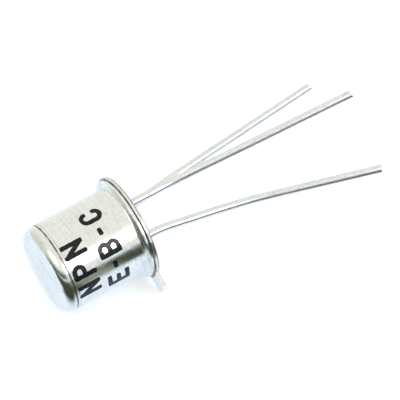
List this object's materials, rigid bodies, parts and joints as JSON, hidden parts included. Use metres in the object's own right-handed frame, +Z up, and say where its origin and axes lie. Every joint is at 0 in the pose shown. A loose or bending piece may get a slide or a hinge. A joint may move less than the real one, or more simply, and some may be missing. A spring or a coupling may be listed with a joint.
{
  "type": "npn transistor",
  "caption": "Small npn transistor in a round metal can with a welded flange, an index tab and splayed wire leads, lying on its side.",
  "frame": {"origin": "on the ground under the middle of the part's outline seen from above", "axes": "+Z up; +X along the part from the can's top to the leads' ends; the index tab points to -Y and down"},
  "size_m": [0.018, 0.0074, 0.007],
  "materials": {
    "can_nickel": "bright drawn nickel",
    "header_nickel": "bright stamped nickel",
    "seal_glass": "dark fused glass",
    "lead_tin": "dull tinned wire",
    "silicon": "polished silicon",
    "gold": "bright gold",
    "marking_ink": "printed black ink"
  },
  "bodies": {
    "root": {"cap": "can_nickel", "header": "header_nickel", "glass_seal": "seal_glass", "emitter_lead": "lead_tin", "base_lead": "lead_tin", "collector_lead": "lead_tin", "chip": "silicon", "chip_solder": "gold", "emitter_bond_wire": "gold", "base_bond_wire": "gold"}
  },
  "joints": []
}
